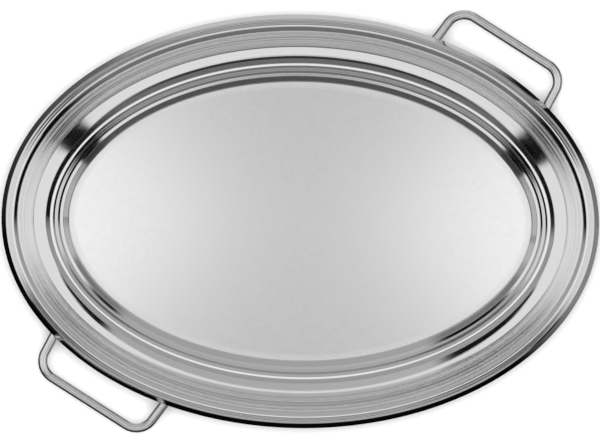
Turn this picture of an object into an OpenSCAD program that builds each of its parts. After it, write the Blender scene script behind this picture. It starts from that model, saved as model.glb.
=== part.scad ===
// Oval serving tray: one pressed sheet pan with a stepped rim, and two round-wire
// handles, each held under the rim by two pressed saddles. Millimetres, +Z up.
// X runs along the long axis of the oval, Y along the short one.
// The origin is the middle of the underside of the flat floor.

/* [Tray outline] */
// Length of the oval over the rim
tray_l = 520; // [430:5:640]
// Width of the oval over the rim
tray_w = 360; // [300:5:440]
// Height from the resting face to the top of the rim
tray_h = 29; // [28:1:40]
// Thickness of the stainless sheet
sheet_t = 1.0; // [0.8:0.1:1.2]

/* [Outer lip] */
// Width of the turned-down edge
skirt_w = 4.4; // [4:0.2:5.4]
// Height of the turned-down edge
skirt_h = 7.4; // [6:0.2:9]
// Width of the nearly flat lip inside the edge
lip_w = 6.4; // [5.4:0.2:8]
// Fall of the lip towards the inside
lip_fall = 0.4; // [0.2:0.1:1]

/* [Upper step and ledge] */
// Width of the step below the lip
upper_step_w = 3.8; // [3.2:0.2:4.6]
// Depth of the step below the lip
upper_step_h = 3.6; // [3:0.2:4.6]
// Number of flutes pressed into the ledge
ledge_flutes = 3; // [2:1:4]
// Width of one flute
ledge_pitch = 4.2; // [3.6:0.2:4.6]
// Fall of the ledge across all its flutes
ledge_fall = 1.7; // [1.2:0.1:2.2]
// Height of a flute from valley to crest
flute_h = 0.3; // [0.2:0.05:0.5]

/* [Middle band] */
// Width of the small bead that ends the ledge
bead_w = 2.6; // [2:0.2:3.4]
// Depth of the small bead
bead_h = 1.8; // [1.2:0.2:2.4]
// Width of the broad sloping band
cove_w = 8.8; // [8:0.2:11]
// Depth of the broad sloping band
cove_h = 5; // [4:0.2:5.6]

/* [Lower wall] */
// Width of the step below the broad band
lower_step_w = 3.6; // [3:0.2:4.6]
// Depth of the step below the broad band
lower_step_h = 3.4; // [2.8:0.2:4.4]
// Number of ribs pressed into the lower band
rib_count = 2; // [2:1:3]
// Width of one rib
rib_pitch = 4.2; // [3.8:0.1:5]
// Depth of the lower band across one rib
rib_fall = 2; // [1.4:0.1:2.4]
// Width of the smooth band above the floor wall
low_band_w = 3.6; // [3.2:0.2:5.2]
// Depth of the smooth band above the floor wall
low_band_h = 2; // [1.2:0.1:2.4]
// Width of the steep wall that meets the floor
floor_wall_w = 4.4; // [3.6:0.2:6]

/* [Handles] */
// Diameter of the handle wire
wire_d = 8; // [6:0.5:10]
// Length of the grip between the corners of the wire's centre line
grip_l = 108; // [90:2:130]
// Distance of the grip's centre line outside the rim
grip_reach = 27.3; // [22:0.1:36]
// Bend radius of the wire's centre line
bend_r = 17; // [12:1:20]
// Gap between the top of the wire and the rim's underside above its cut ends
wire_gap = 0.8; // [0.4:0.1:2]
// Direction in which the handle points, from the long axis
handle_angle = 58.5; // [54:0.5:62]
// Shift of the handle along the rim, towards the short axis
handle_shift = 12.6; // [8:0.1:16]

/* [Handle saddles] */
// Thickness of the saddle strap
saddle_t = 1.5; // [1:0.1:2]
// Width of each welded flange of a saddle
flange_w = 9; // [7:0.5:12]
// Gap between a saddle's ends and the bends of the rim next to them
saddle_clear = 0.6; // [0.4:0.1:1]
// Length of wire that shows past the inner end of a saddle
wire_tail = 1; // [0.5:0.5:2]

/* [Hidden] */
$fn = 48;
half_l = tray_l / 2;
half_w = tray_w / 2;
wire_r = wire_d / 2;
steel = "#c9cbcd";
satin = "#aeb0b2";

// The oval is drawn with four tangent arcs, two at the ends and two along the sides. They
// meet where the outline's normal leans as the long side of the 3-4-5 triangle does, so
// every centre and radius is a whole share of the two lengths and the arcs meet exactly.
lean = [0.6, 0.8];
split_angle = atan2(lean.y, lean.x);
end_r = (3 * half_w - half_l) / 2;
side_r = 2 * half_l - half_w;
end_c = [half_l - end_r, 0];
side_c = [0, half_w - side_r];

function heading(angle) = [cos(angle), sin(angle)];
function unit(v) = v / norm(v);
// Outline points keep to a hundredth of a millimetre.
function neat(p) = [round(p.x * 100) / 100, round(p.y * 100) / 100];

// Corners of the rim's upper surface: distance in from the outer edge, height, radius.
lip_in = skirt_w + lip_w;
ledge_in = lip_in + upper_step_w;
ledge_z = tray_h - lip_fall - upper_step_h;
ledge_w = ledge_flutes * ledge_pitch;
bead_in = ledge_in + ledge_w;
bead_z = ledge_z - ledge_fall;
cove_in = bead_in + bead_w;
cove_z = bead_z - bead_h;
step_in = cove_in + cove_w;
step_z = cove_z - cove_h;
rib_in = step_in + lower_step_w;
rib_z = step_z - lower_step_h;
band_in = rib_in + rib_count * rib_pitch;
band_z = rib_z - rib_count * rib_fall;
wall_in = band_in + low_band_w;
wall_z = band_z - low_band_h;
floor_in = wall_in + floor_wall_w;

crest_r = 2;
ridge_r = 1.8;
hollow_r = 3;
flute_r = 1.6;
edge_r = 2.5;
floor_r = 2.5;
bend_step = 30;

CORNERS = concat(
    [[0, tray_h - skirt_h, 0]],
    [[skirt_w, tray_h, crest_r]],
    [[lip_in, tray_h - lip_fall, ridge_r]],
    [[ledge_in, ledge_z, hollow_r]],
    [for (i = [0.5 : 0.5 : ledge_flutes - 0.5])
        [ledge_in + i * ledge_pitch,
         ledge_z - ledge_fall * i / ledge_flutes + (i == floor(i) ? -flute_h / 2 : flute_h / 2),
         flute_r]],
    [[bead_in, bead_z, ridge_r]],
    [[cove_in, cove_z, hollow_r]],
    [[step_in, step_z, edge_r]],
    [for (i = [0 : rib_count - 1]) each [
        [rib_in + i * rib_pitch, rib_z - i * rib_fall, flute_r],
        [rib_in + (i + 0.55) * rib_pitch, rib_z - (i + 0.25) * rib_fall, flute_r]]],
    [[band_in, band_z, hollow_r]],
    [[wall_in, wall_z, edge_r]],
    [[floor_in, sheet_t, floor_r]]
);

// Round stretch that replaces the corner b between its neighbours a and c.
function bend(a, b, c) =
    let (
        pa = [a.x, a.y],
        pb = [b.x, b.y],
        pc = [c.x, c.y],
        u = unit(pa - pb),
        v = unit(pc - pb),
        half = acos(u * v) / 2,
        reach = min(b.z / tan(half), 0.48 * norm(pa - pb), 0.48 * norm(pc - pb)),
        r = reach * tan(half),
        centre = pb + unit(u + v) * r / sin(half),
        from = pb + u * reach - centre,
        start = atan2(from.y, from.x),
        side = sign(cross(v, u)),
        turn = 180 - 2 * half,
        steps = max(1, ceil(turn / bend_step))
    )
    [for (i = [0 : steps]) centre + r * heading(start + side * turn * i / steps)];

// Points of the upper surface, from the outer edge to a point on the floor this far in.
function upper_line(flat_in) =
    let (
        floor_end = [flat_in, sheet_t],
        last = len(CORNERS) - 1
    )
    concat(
        [[CORNERS[0].x, CORNERS[0].y]],
        [for (i = [1 : last])
            each bend(CORNERS[i - 1], CORNERS[i], i == last ? floor_end : CORNERS[i + 1])],
        [floor_end]
    );

// The same line moved by t to its right-hand side, so the sheet has one thickness.
function right_normal(p, q) =
    let (d = unit(q - p))
    [d.y, -d.x];
function shifted(line, t) =
    let (last = len(line) - 1)
    [for (i = [0 : last])
        let (
            before = right_normal(line[max(i - 1, 0)], line[max(i, 1)]),
            after = right_normal(line[min(i, last - 1)], line[min(i + 1, last)]),
            mid = unit(before + after)
        )
        line[i] + mid * t / (mid * before)];
function sheet_section(flat_in) =
    let (
        upper = upper_line(flat_in),
        lower = shifted(upper, sheet_t)
    )
    concat(upper, [for (i = [len(lower) - 1 : -1 : 0]) lower[i]]);

// Turns a section, drawn as distance in from the edge and height, round the whole of the
// arc with this radius.
module turned(section, r) {
    rotate_extrude()
        polygon([for (p = section) neat([r - p.x, p.y])]);
}

// The part of a wedge of the plan that lies in front of its point, as tall as needed.
reach_past = 600;
module wedge(tip, way_1, way_2) {
    translate([tip.x, tip.y, -tray_h])
        linear_extrude(3 * tray_h)
            polygon([[0, 0], reach_past * way_1, reach_past * way_2]);
}

// One end and one side of the rim, with a given section.
module end_rim(section) {
    intersection() {
        translate([end_c.x, end_c.y, 0])
            turned(section, end_r);
        wedge(end_c, lean, [lean.x, -lean.y]);
    }
}
module side_rim(section) {
    intersection() {
        translate([side_c.x, side_c.y, 0])
            turned(section, side_r);
        wedge(side_c, lean, [-lean.x, lean.y]);
    }
}

// Pressed pan: the stepped rim all round, closed by a floor plate with straight sides. The
// flat part of each rim piece reaches in past the plate's side.
plate_in = floor_in + floor_r;
plate_lap = 2;
end_flat_in = plate_in + (end_r - plate_in) * (1 - lean.x) + plate_lap;
side_flat_in = plate_in + (side_r - plate_in) * (1 - lean.y) + plate_lap;
plate_corner = end_c + (end_r - plate_in) * lean;
module tray_pan() {
    color(steel) {
        for (turn = [0, 180])
            rotate([0, 0, turn]) {
                end_rim(sheet_section(end_flat_in));
                side_rim(sheet_section(side_flat_in));
            }
        linear_extrude(sheet_t)
            square([2 * plate_corner.x, 2 * plate_corner.y], center = true);
    }
}

// The handle's own frame has its origin in the middle of the grip, +Y pointing inwards
// and +X towards the short axis of the tray.
rim_point = side_c + side_r * heading(handle_angle);
grip_at = rim_point + grip_reach * heading(handle_angle)
        + handle_shift * heading(handle_angle + 90);
// Each leg leans outwards towards its root. The sine and cosine are short decimals, so
// that a leg and its bend meet exactly.
leg_lean = [0.07584, 0.99712];
leg_splay = atan2(leg_lean.x, leg_lean.y);
bend_turn = 90 - leg_splay;
bend_reach = bend_r * tan(bend_turn / 2);
bend_at = round((grip_l / 2 - bend_reach) * 100) / 100;

// Where the corner of one leg lies in the tray's frame, and the way inwards along the leg.
function leg_corner(side) = grip_at + side * grip_l / 2 * heading(handle_angle + 90);
function leg_heading(side) = handle_angle + 180 - side * leg_splay;

// Height of the wire's centre line. The rim above the cut ends comes down to the foot of
// the small bead, and its underside lies one sloping sheet lower.
bead_drop = sheet_t / cos(atan(bead_h / bead_w));
wire_z = round((cove_z - bead_drop - wire_gap - wire_r) * 100) / 100;

// Distance along a leg from its corner to the line that runs at depth s inside an arc.
function reach_to(centre, r, side, s) =
    let (
        way = heading(leg_heading(side)),
        w = leg_corner(side) - centre,
        b = w * way
    )
    -b - sqrt(b * b - w * w + pow(r - s, 2));
function turn_at(centre, r, side, s) =
    let (p = leg_corner(side) + reach_to(centre, r, side, s) * heading(leg_heading(side)) - centre)
    atan2(p.y, p.x);
function leg_reach(side, s) =
    turn_at(side_c, side_r, side, s) >= split_angle
        ? reach_to(side_c, side_r, side, s)
        : reach_to(end_c, end_r, side, s);

saddle_out = ledge_in + saddle_clear;
saddle_in = bead_in - saddle_clear;

// Handle: one round wire, bent twice, with its cut ends under the rim.
module handle() {
    color(steel)
        translate([grip_at.x, grip_at.y, wire_z])
            rotate([0, 0, handle_angle + 90]) {
                rotate([0, 90, 0])
                    cylinder(r = wire_r, h = 2 * bend_at, center = true);
                leg(1);
                mirror([1, 0, 0])
                    leg(-1);
            }
}

// One bend and one leg, for the end of the grip that points along +X.
module leg(side) {
    leg_l = leg_reach(side, saddle_in) + wire_tail - bend_reach;
    turn_r = bend_r + wire_d;
    translate([bend_at, bend_r, 0]) {
        intersection() {
            rotate_extrude()
                translate([bend_r, 0])
                    circle(r = wire_r);
            translate([0, -turn_r, -wire_d])
                cube([turn_r, 2 * turn_r, 2 * wire_d]);
            rotate([0, 0, -leg_splay])
                translate([-turn_r, -turn_r, -wire_d])
                    cube([2 * turn_r, turn_r, 2 * wire_d]);
        }
        rotate([0, 0, -leg_splay])
            translate([bend_r, 0, 0])
                rotate([-90, 0, 0])
                    cylinder(r = wire_r, h = leg_l);
    }
}

// Saddle: a pressed strap under the wire, with two flanges formed to the ledge above.
flange_drop = flute_h / 2 + sheet_t / cos(atan(ledge_fall / ledge_w));
function flange_z(s) = ledge_z - ledge_fall * (s - ledge_in) / ledge_w - flange_drop;
saddle_r = wire_r + saddle_t;
module saddle(side) {
    reach_out = leg_reach(side, saddle_out);
    strap_l = leg_reach(side, saddle_in) - reach_out;
    color(satin) {
        intersection() {
            under_ledge(flange_z(lip_in));
            at_leg(side, reach_out)
                difference() {
                    union() {
                        rotate([0, 90, 0])
                            cylinder(r = saddle_r, h = strap_l);
                        translate([0, -saddle_r, 0])
                            cube([strap_l, 2 * saddle_r, wire_z]);
                    }
                    translate([-strap_l / 2, 0, 0])
                        rotate([0, 90, 0])
                            cylinder(r = wire_r, h = 2 * strap_l);
                    translate([-strap_l / 2, -wire_r, 0])
                        cube([2 * strap_l, 2 * wire_r, wire_z]);
                }
        }
        intersection() {
            under_ledge(saddle_t);
            at_leg(side, reach_out)
                for (flank = [-1, 1])
                    translate([0, flank * (saddle_r + wire_r + flange_w) / 2, 0])
                        translate([0, -(saddle_t + flange_w) / 2, -wire_z])
                            cube([strap_l, saddle_t + flange_w, 3 * wire_z]);
        }
    }
}

// The space just under the ledge of one quarter of the rim, this deep.
module under_ledge(depth) {
    section = [
        [lip_in, flange_z(lip_in) - depth],
        [cove_in, flange_z(cove_in) - depth],
        [cove_in, flange_z(cove_in)],
        [lip_in, flange_z(lip_in)]
    ];
    end_rim(section);
    side_rim(section);
}

// Places its children on a leg, +X pointing inwards along it.
module at_leg(side, reach) {
    at = leg_corner(side) + reach * heading(leg_heading(side));
    translate([at.x, at.y, wire_z])
        rotate([0, 0, leg_heading(side)])
            children();
}

module handle_right() handle();
module handle_left() rotate([0, 0, 180]) handle();
module saddle_right_inner() saddle(1);
module saddle_right_outer() saddle(-1);
module saddle_left_inner() rotate([0, 0, 180]) saddle(1);
module saddle_left_outer() rotate([0, 0, 180]) saddle(-1);

tray_pan();
handle_right();
handle_left();
saddle_right_inner();
saddle_right_outer();
saddle_left_inner();
saddle_left_outer();
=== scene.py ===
import math

import bpy
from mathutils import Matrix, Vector


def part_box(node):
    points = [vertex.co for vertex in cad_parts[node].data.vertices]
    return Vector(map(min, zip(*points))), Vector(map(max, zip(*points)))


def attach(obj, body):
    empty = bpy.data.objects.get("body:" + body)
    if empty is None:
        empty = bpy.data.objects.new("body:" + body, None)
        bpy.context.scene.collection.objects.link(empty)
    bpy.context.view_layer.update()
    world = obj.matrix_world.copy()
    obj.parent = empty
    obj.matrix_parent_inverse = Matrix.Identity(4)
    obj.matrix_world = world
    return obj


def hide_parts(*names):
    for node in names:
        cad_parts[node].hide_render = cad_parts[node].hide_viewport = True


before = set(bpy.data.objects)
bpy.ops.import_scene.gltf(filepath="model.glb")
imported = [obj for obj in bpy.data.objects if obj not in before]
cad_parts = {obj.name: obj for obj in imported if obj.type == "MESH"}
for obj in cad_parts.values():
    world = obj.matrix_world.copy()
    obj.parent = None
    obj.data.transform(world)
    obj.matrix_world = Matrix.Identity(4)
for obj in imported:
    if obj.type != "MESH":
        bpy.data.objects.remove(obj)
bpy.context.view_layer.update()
scene = bpy.context.scene
scene.view_settings.view_transform = "Standard"
mm = 0.001

# The tray lies flat and is looked at from straight above, from six metres, through a
# long lens. The camera is turned by a degree, so the right end of the tray hangs lower.
pan_low, pan_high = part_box("tray_pan")
half_l = (pan_high.x - pan_low.x) / 2
half_w = (pan_high.y - pan_low.y) / 2
view_distance = 6.0
view_width = 2 * half_l * 1.0022
view_roll = math.radians(1.0)
lens_data = bpy.data.cameras.new("overhead_lens")
lens_data.lens = lens_data.sensor_width * view_distance / view_width
camera = bpy.data.objects.new("overhead_camera", lens_data)
camera.location = (-0.2 * mm, -0.6 * mm, pan_high.z + view_distance)
camera.rotation_euler = (0, 0, view_roll)
scene.collection.objects.link(camera)
scene.camera = camera


def add_node(tree, kind, inputs=None, **settings):
    """A node of this kind, with its settings, and its inputs set to values or linked to sockets."""
    node = tree.nodes.new(kind)
    for name, value in settings.items():
        setattr(node, name, value)
    for name, value in (inputs or {}).items():
        if isinstance(value, bpy.types.NodeSocket):
            tree.links.new(value, node.inputs[name])
        else:
            node.inputs[name].default_value = value
    return node


# The studio is a light tent: a bright panel on each side, with dark gaps at the corners,
# an open top that is grey straight above, and a dark floor except on the far side.
studio = bpy.data.worlds.new("light_tent")
scene.world = studio
studio.use_nodes = True
tent = studio.node_tree
tent.nodes.clear()


def tent_math(kind, first, second=0.0):
    return add_node(tent, "ShaderNodeMath", {0: first, 1: second}, operation=kind).outputs[0]


def tent_ramp(value, stops):
    """Grey as a function of value, through these (place, grey) stops."""
    ramp = add_node(tent, "ShaderNodeValToRGB", {"Fac": value})
    marks = ramp.color_ramp.elements
    while len(marks) < len(stops):
        marks.new(0.5)
    for mark, (place, grey) in zip(marks, stops):
        mark.position = place
        level = (grey / 255) ** 2.2
        mark.color = (level, level, level, 1)
    return ramp.outputs["Color"]


way = add_node(tent, "ShaderNodeTexCoord").outputs["Generated"]
part = add_node(tent, "ShaderNodeSeparateXYZ", {"Vector": way}).outputs
steep = tent_math("ARCCOSINE", part["Z"])
polar = tent_math("DIVIDE", steep, math.pi)
round_it = tent_math("ARCTAN2", part["Y"], part["X"])
azimuth = tent_math("FRACT", tent_math("ADD", tent_math("DIVIDE", round_it, 2 * math.pi), 1.0))

# Straight above, the grey grows brighter along the tray's length only. Lower down, each
# ring of the tent has its own panels and gaps, from the right-hand side round to the left.
lengthwise = tent_math("ABSOLUTE", part["X"])
widthwise = tent_math("ABSOLUTE", part["Y"])
along = tent_math("SUBTRACT", lengthwise, widthwise)
crown_spread = 10.0
crown = tent_ramp(tent_math("MULTIPLY", along, crown_spread), [
    (0.0, 184), (0.20, 255), (1.0, 255)])
bright_ring = tent_ramp(azimuth, [(0.0, 240), (1.0, 240)])
high_ring = tent_ramp(azimuth, [
    (0.00, 205), (0.06, 205), (0.10, 85), (0.16, 85), (0.19, 135), (0.29, 135), (0.31, 80),
    (0.37, 80), (0.41, 205), (0.57, 205), (0.585, 15), (0.63, 15), (0.65, 135), (0.84, 135),
    (0.86, 15), (0.90, 15), (0.93, 205)])
middle_ring = tent_ramp(azimuth, [
    (0.00, 222), (0.589, 222), (0.592, 15), (0.627, 15), (0.630, 222), (0.868, 222),
    (0.871, 15), (0.900, 15), (0.903, 222)])
far_wall = tent_ramp(azimuth, [
    (0.00, 150), (0.075, 150), (0.085, 22), (0.150, 22), (0.158, 165), (0.31, 175), (0.32, 22),
    (0.40, 22), (0.41, 150)])
near_wall = tent_ramp(azimuth, [
    (0.50, 60), (0.57, 60), (0.585, 15), (0.63, 15), (0.65, 50), (0.85, 50), (0.87, 15),
    (0.905, 15), (0.93, 60)])
low_ring = tent_ramp(azimuth, [
    (0.00, 15), (0.025, 160), (0.16, 170), (0.34, 170), (0.46, 160), (0.472, 15), (0.484, 160),
    (0.56, 150), (0.585, 80), (0.63, 80), (0.65, 110), (0.84, 110), (0.87, 80), (0.91, 80),
    (0.94, 150), (0.985, 160)])
step_ring = tent_ramp(azimuth, [
    (0.00, 15), (0.025, 150), (0.16, 165), (0.34, 165), (0.475, 150), (0.50, 15), (0.62, 15),
    (0.65, 110), (0.84, 110), (0.87, 15)])
skyline_ring = tent_ramp(azimuth, [
    (0.00, 190), (0.03, 60), (0.15, 75), (0.35, 75), (0.45, 60), (0.48, 190), (0.52, 40),
    (0.65, 50), (0.85, 50), (0.97, 40)])
ground_ring = tent_ramp(azimuth, [
    (0.00, 120), (0.05, 110), (0.08, 25), (0.15, 25), (0.18, 190), (0.30, 190), (0.34, 100),
    (0.40, 60), (0.52, 15), (0.86, 15), (0.92, 130)])

# The far and the near wall are flat panels. Each starts at a set sideways lean.
lowest_z = 0.02
lean_scale = 0.25
sideways = tent_math("DIVIDE", part["Y"], tent_math("MAXIMUM", part["Z"], lowest_z))
far_lean = tent_math("MULTIPLY", sideways, lean_scale)
near_lean = tent_math("MULTIPLY", sideways, -lean_scale)
far_share = tent_ramp(far_lean, [(0.23, 0), (0.25, 255)])
near_share = tent_ramp(near_lean, [(0.35, 0), (0.38, 255)])


def from_polar(degrees, blur):
    """Share of a ring that starts this far from straight up, with a blurred edge."""
    return tent_ramp(polar, [((degrees - blur) / 180, 0), ((degrees + blur) / 180, 255)])


rings = [
    (from_polar(4, 1.5), bright_ring), (from_polar(11, 2), high_ring),
    (from_polar(38, 2), middle_ring), (far_share, far_wall), (near_share, near_wall),
    (from_polar(66, 2), low_ring), (from_polar(75, 1), step_ring),
    (from_polar(86, 1.5), skyline_ring), (from_polar(94, 2), ground_ring)]
tent_colour = crown
for share, ring in rings:
    layer = add_node(tent, "ShaderNodeMix", {0: share, 6: tent_colour, 7: ring}, data_type="RGBA")
    tent_colour = layer.outputs[2]
tent_strength = 1.12
glow = add_node(tent, "ShaderNodeBackground", {
    "Color": tent_colour, "Strength": tent_strength})
add_node(tent, "ShaderNodeOutputWorld", {"Surface": glow.outputs[0]})

# Pan: one stainless sheet a millimetre thick, pressed into an oval with a stepped rim and
# a flat floor, then polished. The rim keeps one section all the way round, so it is that
# section swept along the oval, and the floor closes it above and below.
sheet = 1.0
crest_rounding = 0.03
rim_top = pan_high.z / mm + crest_rounding
RIM_BANDS = [            # width inwards, fall, radius at the band's outer corner
    (4.4, -7.4, 0.4),    # turned-down edge
    (1.5, 0.05, 2.0),    # lip, with two fine grooves
    (1.2, 0.28, 1.2),
    (1.1, -0.18, 0.8),
    (1.2, 0.28, 0.8),
    (1.4, -0.15, 0.8),
    (3.8, 3.4, 1.8),     # upper step
    (1.8, 0.11, 2.0),    # shelf
    (1.5, 0.45, 1.0),    # two fine flutes
    (1.5, 0.05, 1.0),
    (1.5, 0.45, 1.0),
    (6.3, 1.3, 1.2),     # sloping ledge
    (1.2, 0.9, 0.8),     # bead
    (2.0, 0.9, 2.0),     # broad band, steeper towards its foot
    (2.8, 1.1, 30.0),
    (2.8, 1.4, 30.0),
    (2.6, 1.6, 30.0),
    (3.6, 3.4, 5.0),     # lower step
    (2.3, 0.15, 1.2),    # two ribs
    (1.9, 1.7, 1.0),
    (2.3, 0.3, 1.0),
    (1.9, 1.7, 1.0),
    (2.8, 1.5, 2.0),     # smooth band
]
wall_width = 4.1
wall_foot = 0.9          # the wall ends in a short, flatter foot
foot_slope = 39
wall_radius = 1.2
floor_lap = 5.0
least_radius = 0.4


def rim_corners():
    """Corners of the rim's upper face, as (distance in from the edge, height, radius)."""
    inward = 0.0
    height = rim_top + RIM_BANDS[0][1]
    corners = []
    for width, fall, radius in RIM_BANDS:
        corners.append((inward, height, radius))
        inward += width
        height -= fall
    corners.append((inward, height, wall_radius))
    foot_z = sheet + wall_foot * math.tan(math.radians(foot_slope))
    corners.append((inward + wall_width, foot_z, wall_radius))
    corners.append((inward + wall_width + wall_foot, sheet, wall_radius))
    corners.append((inward + wall_width + wall_foot + floor_lap, sheet, 0.0))
    return corners


def lower_face(corners):
    """The same corners moved down through the sheet, square to it."""
    places = [Vector(corner[:2]) for corner in corners]
    ways = [(b - a).normalized() for a, b in zip(places, places[1:])]
    moved = []
    for place, corner, before, after in zip(places, corners, ways[:1] + ways, ways + ways[-1:]):
        up_before = Vector((-before.y, before.x))
        up_after = Vector((-after.y, after.x))
        up = (up_before + up_after).normalized()
        hollow = before.x * after.y - before.y * after.x > 0
        radius = corner[2] + (sheet if hollow else -sheet)
        spot = place - up * (sheet / up.dot(up_after))
        moved.append((spot.x, spot.y, max(radius, least_radius) if corner[2] else 0.0))
    return moved


corners = rim_corners()
floor_in = corners[-1][0]
section_data = bpy.data.curves.new("rim_section", "CURVE")
section_data.dimensions = "3D"
outline = corners[::-1] + lower_face(corners)
spline = section_data.splines.new("POLY")
spline.points.add(len(outline) - 1)
for point, (inward, height, radius) in zip(spline.points, outline):
    point.co = (-inward * mm, -height * mm, 0, 1)
    point.radius = radius * mm
section = bpy.data.objects.new("rim_section", section_data)
scene.collection.objects.link(section)

pan_tree = bpy.data.node_groups.new("pressed_pan", "GeometryNodeTree")
PAN_INPUTS = {
    "Half length": ("NodeSocketFloat", half_l),
    "Half width": ("NodeSocketFloat", half_w),
    "Floor inset": ("NodeSocketFloat", floor_in * mm),
    "Sheet": ("NodeSocketFloat", sheet * mm),
    "Steps round": ("NodeSocketInt", 440),
    "Steps in a bend": ("NodeSocketInt", 3),
    "Rim section": ("NodeSocketObject", section),
    "Finish": ("NodeSocketMaterial", None),
}
pan_sockets = {
    name: pan_tree.interface.new_socket(name, in_out="INPUT", socket_type=kind).identifier
    for name, (kind, _) in PAN_INPUTS.items()}
pan_tree.interface.new_socket("Pan", in_out="OUTPUT", socket_type="NodeSocketGeometry")
given = add_node(pan_tree, "NodeGroupInput").outputs


def pan_node(kind, inputs, **settings):
    return add_node(pan_tree, kind, inputs, **settings).outputs[0]


# The oval, with its normals level.
circle = pan_node("GeometryNodeCurvePrimitiveCircle", {
    "Resolution": given["Steps round"], "Radius": 1.0})
stretch = pan_node("ShaderNodeCombineXYZ", {
    "X": given["Half length"], "Y": given["Half width"], "Z": 1.0})
oval = pan_node("GeometryNodeTransform", {"Geometry": circle, "Scale": stretch})
oval = pan_node("GeometryNodeSetCurveNormal", {"Curve": oval}, mode="Z_UP")

# The section, with its corners rounded and its own length kept for the finish.
drawn_section = add_node(pan_tree, "GeometryNodeObjectInfo", {"Object": given["Rim section"]})
shape = drawn_section.outputs["Geometry"]
corner_radius = pan_node("GeometryNodeInputRadius", {})
shape = pan_node("GeometryNodeFilletCurve", {
    "Curve": shape, "Count": given["Steps in a bend"], "Radius": corner_radius,
    "Limit Radius": True}, mode="POLY")
travelled = add_node(pan_tree, "GeometryNodeSplineParameter").outputs
left = pan_node("ShaderNodeMath", {0: 1.0, 1: travelled["Factor"]}, operation="SUBTRACT")
nearest = pan_node("ShaderNodeMath", {0: travelled["Factor"], 1: left}, operation="MINIMUM")
whole_length = pan_node("ShaderNodeMath", {
    0: travelled["Length"], 1: travelled["Factor"]}, operation="DIVIDE")
across = pan_node("ShaderNodeMath", {0: nearest, 1: whole_length}, operation="MULTIPLY")
shape = pan_node("GeometryNodeStoreNamedAttribute", {
    "Geometry": shape, "Name": "across", "Value": across}, data_type="FLOAT", domain="POINT")
rim = pan_node("GeometryNodeCurveToMesh", {"Curve": oval, "Profile Curve": shape})

# The floor's two faces close the ends of the section.
level = pan_node("GeometryNodeInputNormal", {})
inset = pan_node("ShaderNodeMath", {0: given["Floor inset"], 1: -1.0}, operation="MULTIPLY")
shift = pan_node("ShaderNodeVectorMath", {0: level, "Scale": inset}, operation="SCALE")
inner = pan_node("GeometryNodeSetPosition", {"Geometry": oval, "Offset": shift})
plate = pan_node("GeometryNodeFillCurve", {"Curve": inner}, mode="NGONS")
lift = pan_node("ShaderNodeCombineXYZ", {"Z": given["Sheet"]})
floor_face = pan_node("GeometryNodeTransform", {"Geometry": plate, "Translation": lift})
rest_face = pan_node("GeometryNodeFlipFaces", {"Mesh": plate})
join = add_node(pan_tree, "GeometryNodeJoinGeometry")
for face in (rim, floor_face, rest_face):
    pan_tree.links.new(face, join.inputs[0])
whole_pan = pan_node("GeometryNodeMergeByDistance", {
    "Geometry": join.outputs[0], "Distance": 0.02 * mm})
whole_pan = pan_node("GeometryNodeSetShadeSmooth", {"Geometry": whole_pan, "Shade Smooth": True})
whole_pan = pan_node("GeometryNodeRealizeInstances", {"Geometry": whole_pan})
whole_pan = pan_node("GeometryNodeSetMaterial", {"Geometry": whole_pan, "Material": given["Finish"]})
add_node(pan_tree, "NodeGroupOutput", {"Pan": whole_pan})

polished = bpy.data.materials.new("polished_sheet")
polished.use_nodes = True
sheen = polished.node_tree
steel = sheen.nodes["Principled BSDF"]
steel.inputs["Base Color"].default_value = (0.86, 0.86, 0.86, 1)
steel.inputs["Metallic"].default_value = 1.0


def spread(tree, value, low, high):
    """A value between 0 and 1, spread over another range."""
    return add_node(tree, "ShaderNodeMapRange", {
        "Value": value, "To Min": low, "To Max": high}).outputs["Result"]


# Polishing leaves fine lines that follow the rim, and a faint haze all over the sheet.
from_floor = add_node(sheen, "ShaderNodeAttribute", attribute_name="across").outputs["Fac"]
turned_noise = add_node(sheen, "ShaderNodeTexNoise", {
    "W": from_floor, "Scale": 750.0, "Detail": 3.0, "Roughness": 0.7}, noise_dimensions="1D")
turned_lines = turned_noise.outputs["Fac"]
place = add_node(sheen, "ShaderNodeTexCoord").outputs["Object"]
haze = add_node(sheen, "ShaderNodeTexNoise", {
    "Vector": place, "Scale": 260.0, "Detail": 5.0, "Roughness": 0.65}).outputs["Fac"]
line_share = spread(sheen, turned_lines, -0.035, 0.035)
haze_share = spread(sheen, haze, 0.055, 0.105)
sheet_roughness = add_node(sheen, "ShaderNodeMath", {0: line_share, 1: haze_share}, operation="ADD")
sheen.links.new(sheet_roughness.outputs[0], steel.inputs["Roughness"])

# The lines are deepest on the ledge, which is a stretch of the section found by its length.
wall_fall = 6.6
first_ledge_band = 7
first_band_below = 12
ledge_foot = floor_lap + wall_foot + math.hypot(wall_width, wall_fall) + sum(
    math.hypot(width, fall) for width, fall, _ in RIM_BANDS[first_band_below:])
ledge_head = ledge_foot + sum(
    math.hypot(width, fall) for width, fall, _ in RIM_BANDS[first_ledge_band:first_band_below])
ledge_blend = 1.5
above_foot = add_node(sheen, "ShaderNodeMapRange", {
    "Value": from_floor, "From Min": (ledge_foot - ledge_blend) * mm,
    "From Max": ledge_foot * mm})
below_head = add_node(sheen, "ShaderNodeMapRange", {
    "Value": from_floor, "From Min": ledge_head * mm, "From Max": (ledge_head + ledge_blend) * mm,
    "To Min": 1.0, "To Max": 0.0})
on_ledge = add_node(sheen, "ShaderNodeMath", {
    0: above_foot.outputs["Result"], 1: below_head.outputs["Result"]}, operation="MULTIPLY")
line_strength = spread(sheen, on_ledge.outputs[0], 0.06, 0.9)
line_bump = add_node(sheen, "ShaderNodeBump", {
    "Height": turned_lines, "Strength": line_strength, "Distance": 0.35 * mm})
haze_bump = add_node(sheen, "ShaderNodeBump", {
    "Height": haze, "Strength": 0.15, "Distance": 0.004 * mm, "Normal": line_bump.outputs[0]})
sheen.links.new(haze_bump.outputs[0], steel.inputs["Normal"])


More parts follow.
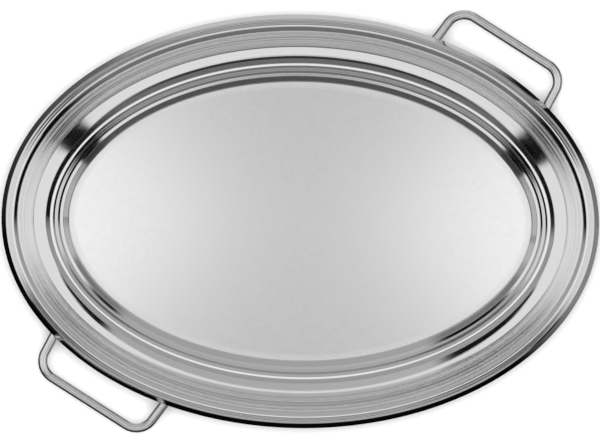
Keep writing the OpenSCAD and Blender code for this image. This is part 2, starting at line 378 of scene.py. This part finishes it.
def plain_mesh(name, tree, sockets, values):
    """Runs a geometry tree with these inputs and returns its result as a plain mesh object."""
    maker = bpy.data.objects.new(name + "_maker", bpy.data.meshes.new(name + "_maker"))
    scene.collection.objects.link(maker)
    growth = maker.modifiers.new("growth", "NODES")
    growth.node_group = tree
    for label, value in values.items():
        growth[sockets[label]] = value
    depsgraph = bpy.context.evaluated_depsgraph_get()
    mesh = bpy.data.meshes.new_from_object(maker.evaluated_get(depsgraph), depsgraph=depsgraph)
    bpy.data.objects.remove(maker)
    mesh.name = name
    made = bpy.data.objects.new(name, mesh)
    scene.collection.objects.link(made)
    return made


pan_values = {name: value for name, (_, value) in PAN_INPUTS.items()}
pan_values["Finish"] = polished
pan = plain_mesh("pressed_pan", pan_tree, pan_sockets, pan_values)
bpy.data.objects.remove(section)
flats = pan.modifiers.new("flats_stay_flat", "WEIGHTED_NORMAL")
flats.weight = 80
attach(pan, "root")
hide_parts("tray_pan")

# Handles: each is one round stainless wire, bent twice, whose cut ends lie under the rim in
# two saddles. The legs spread a little towards the rim, and drawing left fine lines along
# the wire.
wire_r = 4.0
bend_r = 17.0
grip_length = 108.0
grip_turn = math.radians(148.5)
leg_splay = math.asin(0.07584)
wire_tree = bpy.data.node_groups.new("bent_wire", "GeometryNodeTree")
WIRE_INPUTS = {
    "Wire radius": ("NodeSocketFloat", wire_r * mm),
    "Bend radius": ("NodeSocketFloat", bend_r * mm),
    "Steps in a bend": ("NodeSocketInt", 28),
    "Steps round": ("NodeSocketInt", 40),
    "Route": ("NodeSocketObject", None),
    "Finish": ("NodeSocketMaterial", None),
}
wire_sockets = {
    name: wire_tree.interface.new_socket(name, in_out="INPUT", socket_type=kind).identifier
    for name, (kind, _) in WIRE_INPUTS.items()}
wire_tree.interface.new_socket("Wire", in_out="OUTPUT", socket_type="NodeSocketGeometry")
given = add_node(wire_tree, "NodeGroupInput").outputs


def wire_node(kind, inputs, **settings):
    return add_node(wire_tree, kind, inputs, **settings).outputs[0]


route = add_node(wire_tree, "GeometryNodeObjectInfo", {"Object": given["Route"]}).outputs["Geometry"]
route = wire_node("GeometryNodeFilletCurve", {
    "Curve": route, "Count": given["Steps in a bend"], "Radius": given["Bend radius"],
    "Limit Radius": True}, mode="POLY")
gone = add_node(wire_tree, "GeometryNodeSplineParameter").outputs["Length"]
route = wire_node("GeometryNodeStoreNamedAttribute", {
    "Geometry": route, "Name": "along", "Value": gone}, data_type="FLOAT", domain="POINT")
route = wire_node("GeometryNodeSetCurveNormal", {"Curve": route}, mode="Z_UP")
ring = wire_node("GeometryNodeCurvePrimitiveCircle", {
    "Resolution": given["Steps round"], "Radius": given["Wire radius"]})
ring = wire_node("GeometryNodeTransform", {"Geometry": ring, "Rotation": (0, 0, math.pi / 2)})
turned = add_node(wire_tree, "GeometryNodeSplineParameter").outputs["Factor"]
ring = wire_node("GeometryNodeStoreNamedAttribute", {
    "Geometry": ring, "Name": "around", "Value": turned}, data_type="FLOAT", domain="POINT")
wire = wire_node("GeometryNodeCurveToMesh", {"Curve": route, "Profile Curve": ring, "Fill Caps": True})
wire = wire_node("GeometryNodeSetShadeSmooth", {"Geometry": wire, "Shade Smooth": True})
wire = wire_node("GeometryNodeRealizeInstances", {"Geometry": wire})
wire = wire_node("GeometryNodeSetMaterial", {"Geometry": wire, "Material": given["Finish"]})
add_node(wire_tree, "NodeGroupOutput", {"Wire": wire})

drawn = bpy.data.materials.new("polished_wire")
drawn.use_nodes = True
rod = drawn.node_tree
rod_steel = rod.nodes["Principled BSDF"]
rod_steel.inputs["Base Color"].default_value = (0.93, 0.93, 0.94, 1)
rod_steel.inputs["Metallic"].default_value = 1.0
around = add_node(rod, "ShaderNodeAttribute", attribute_name="around").outputs["Fac"]
far_along = add_node(rod, "ShaderNodeAttribute", attribute_name="along").outputs["Fac"]
lines_round = add_node(rod, "ShaderNodeMath", {0: around, 1: 90.0}, operation="MULTIPLY")
lines_along = add_node(rod, "ShaderNodeMath", {0: far_along, 1: 60.0}, operation="MULTIPLY")
unrolled = add_node(rod, "ShaderNodeCombineXYZ", {
    "X": lines_round.outputs[0], "Y": lines_along.outputs[0]}).outputs[0]
drawn_lines = add_node(rod, "ShaderNodeTexNoise", {
    "Vector": unrolled, "Scale": 1.0, "Detail": 4.0, "Roughness": 0.6}).outputs["Fac"]
rod.links.new(spread(rod, drawn_lines, 0.22, 0.32), rod_steel.inputs["Roughness"])
rod_bump = add_node(rod, "ShaderNodeBump", {
    "Height": drawn_lines, "Strength": 0.3, "Distance": 0.02 * mm})
rod.links.new(rod_bump.outputs[0], rod_steel.inputs["Normal"])

# The bends' centres follow from the handle's box, and so does the length of a leg.
wire_low, wire_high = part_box("handle_right")
grip_way = Vector((math.cos(grip_turn), math.sin(grip_turn), 0))
outward = Vector((grip_way.y, -grip_way.x, 0))
bend_reach = bend_r * math.tan((math.pi / 2 - leg_splay) / 2)
span = (grip_length - 2 * bend_reach) * mm
reach = (bend_r + wire_r) * mm
level = (wire_low.z + wire_high.z) / 2
first_centre = Vector((wire_high.x - reach, wire_high.y - reach - span * grip_way.y, level))
grip_middle = first_centre + grip_way * span / 2 + outward * bend_r * mm
foot_gap = wire_r * mm


def leg_end(side):
    """The corner of one leg, and the middle of its cut end."""
    corner = grip_middle + grip_way * (side * grip_length / 2 * mm)
    way = -outward * math.cos(leg_splay) + grip_way * (side * math.sin(leg_splay))
    if side > 0:
        length = (wire_low.x + foot_gap * abs(way.y) - corner.x) / way.x
    else:
        length = (wire_low.y + foot_gap * abs(way.x) - corner.y) / way.y
    return corner, corner + way * length


outer_corner, outer_end = leg_end(-1)
inner_corner, inner_end = leg_end(1)
for name, turn in (("handle_right", 1), ("handle_left", -1)):
    line = bpy.data.curves.new(name + "_route", "CURVE")
    line.dimensions = "3D"
    run = line.splines.new("POLY")
    run.points.add(3)
    for point, place in zip(run.points, (outer_end, outer_corner, inner_corner, inner_end)):
        point.co = (turn * place.x, turn * place.y, place.z, 1)
    guide = bpy.data.objects.new(name + "_route", line)
    scene.collection.objects.link(guide)
    wire_values = {label: value for label, (_, value) in WIRE_INPUTS.items()}
    wire_values.update({"Route": guide, "Finish": drawn})
    handle = plain_mesh(name + "_wire", wire_tree, wire_sockets, wire_values)
    handle.data.set_sharp_from_angle(angle=math.radians(50))
    bpy.data.objects.remove(guide)
    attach(handle, "root")
    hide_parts(name)

# Saddles: pressed straps of satin stainless strip. Each runs under the wire, comes up on
# both sides of it, and ends in two flanges spot-welded to the ledge of the rim above.
strip = 1.5
flange = 9.0
strap_length = 10.0
strap_tail = 2.0
flange_top = 23.95
flange_slope = 0.19
flange_from = 15.0
cradle_steps = 10
satin = bpy.data.materials.new("pressed_saddle")
satin.use_nodes = True
weld_tree = satin.node_tree
strip_steel = weld_tree.nodes["Principled BSDF"]
strip_steel.inputs["Base Color"].default_value = (0.62, 0.63, 0.64, 1)
strip_steel.inputs["Metallic"].default_value = 1.0
strip_place = add_node(weld_tree, "ShaderNodeTexCoord").outputs["Object"]
grain = add_node(weld_tree, "ShaderNodeTexNoise", {
    "Vector": strip_place, "Scale": 900.0, "Detail": 5.0, "Roughness": 0.6}).outputs["Fac"]
weld_tree.links.new(spread(weld_tree, grain, 0.30, 0.46), strip_steel.inputs["Roughness"])
grain_bump = add_node(weld_tree, "ShaderNodeBump", {
    "Height": grain, "Strength": 0.4, "Distance": 0.03 * mm})
weld_tree.links.new(grain_bump.outputs[0], strip_steel.inputs["Normal"])


def rim_depth(place):
    """How far in from the oval's edge this place lies, in millimetres."""
    share = math.hypot(place.x / half_l, place.y / half_w)
    slope = math.hypot(place.x / half_l ** 2, place.y / half_w ** 2) / share
    return (1 - share) / slope / mm


def strap_outline(radius, top):
    """Section of a strap: out along a flange, down, half a turn under the wire, and up again."""
    reach = wire_r + strip + flange
    points = [(-reach, top), (-radius, top)]
    for step in range(cradle_steps + 1):
        turn = math.pi + math.pi * step / cradle_steps
        points.append((radius * math.cos(turn), radius * math.sin(turn)))
    return points + [(radius, top), (reach, top)]


inside = strap_outline(wire_r, 0.0)
outside = strap_outline(wire_r + strip, -strip)
rounded = range(2, len(inside) - 2)
for name, corner, end, turn in (
        ("saddle_right_inner", inner_corner, inner_end, 1),
        ("saddle_right_outer", outer_corner, outer_end, 1),
        ("saddle_left_inner", inner_corner, inner_end, -1),
        ("saddle_left_outer", outer_corner, outer_end, -1)):
    inwards = (end - corner).normalized()
    aside = Vector((-inwards.y, inwards.x, 0))
    verts = []
    for behind in (strap_tail + strap_length, strap_tail):
        for outline in (inside, outside):
            for index, (across_wire, up) in enumerate(outline):
                spot = end - inwards * (behind * mm) + aside * (across_wire * mm)
                if index in rounded:
                    spot.z = level + up * mm
                else:
                    fall = (rim_depth(spot) - flange_from) * flange_slope
                    spot.z = (flange_top - fall + up) * mm
                verts.append((turn * spot.x, turn * spot.y, spot.z))
    count = len(inside)
    loop = list(range(count)) + list(range(2 * count - 1, count - 1, -1))
    faces = [tuple(loop), tuple(index + 2 * count for index in reversed(loop))]
    for first, second in zip(loop, loop[1:] + loop[:1]):
        faces.append((second, first, first + 2 * count, second + 2 * count))
    strap_mesh = bpy.data.meshes.new(name + "_strap")
    strap_mesh.from_pydata(verts, [], faces)
    strap_mesh.materials.append(satin)
    strap = bpy.data.objects.new(name + "_strap", strap_mesh)
    scene.collection.objects.link(strap)
    strap_mesh.shade_smooth()
    strap_mesh.set_sharp_from_angle(angle=math.radians(35))
    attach(strap, "root")
    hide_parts(name)

# Studio floor: plain, pale and matt, lit from above by a large soft lamp. Polished metal
# mirrors the light tent in its place, so the floor and the lamp stay out of reflections.
ground_data = bpy.data.meshes.new("studio_floor")
ground_reach = 4.0
ground_z = -0.1 * mm     # just clear of the tray's resting face
ground_data.from_pydata(
    [(-ground_reach, -ground_reach, ground_z), (ground_reach, -ground_reach, ground_z),
     (ground_reach, ground_reach, ground_z), (-ground_reach, ground_reach, ground_z)],
    [], [(0, 1, 2, 3)])
ground = bpy.data.objects.new("studio_floor", ground_data)
scene.collection.objects.link(ground)
ground.visible_glossy = False
pale = bpy.data.materials.new("pale_floor")
pale.use_nodes = True
matt = pale.node_tree.nodes["Principled BSDF"]
matt.inputs["Base Color"].default_value = (0.94, 0.94, 0.94, 1)
matt.inputs["Roughness"].default_value = 0.9
matt.inputs["Specular IOR Level"].default_value = 0.1
ground_data.materials.append(pale)
lamp_data = bpy.data.lights.new("ceiling_lamp", "AREA")
lamp_data.shape = "DISK"
lamp_data.size = 4.0
lamp_data.energy = 130
lamp = bpy.data.objects.new("ceiling_lamp", lamp_data)
lamp.location = (0, 0, 3.0)
lamp.visible_glossy = False
scene.collection.objects.link(lamp)
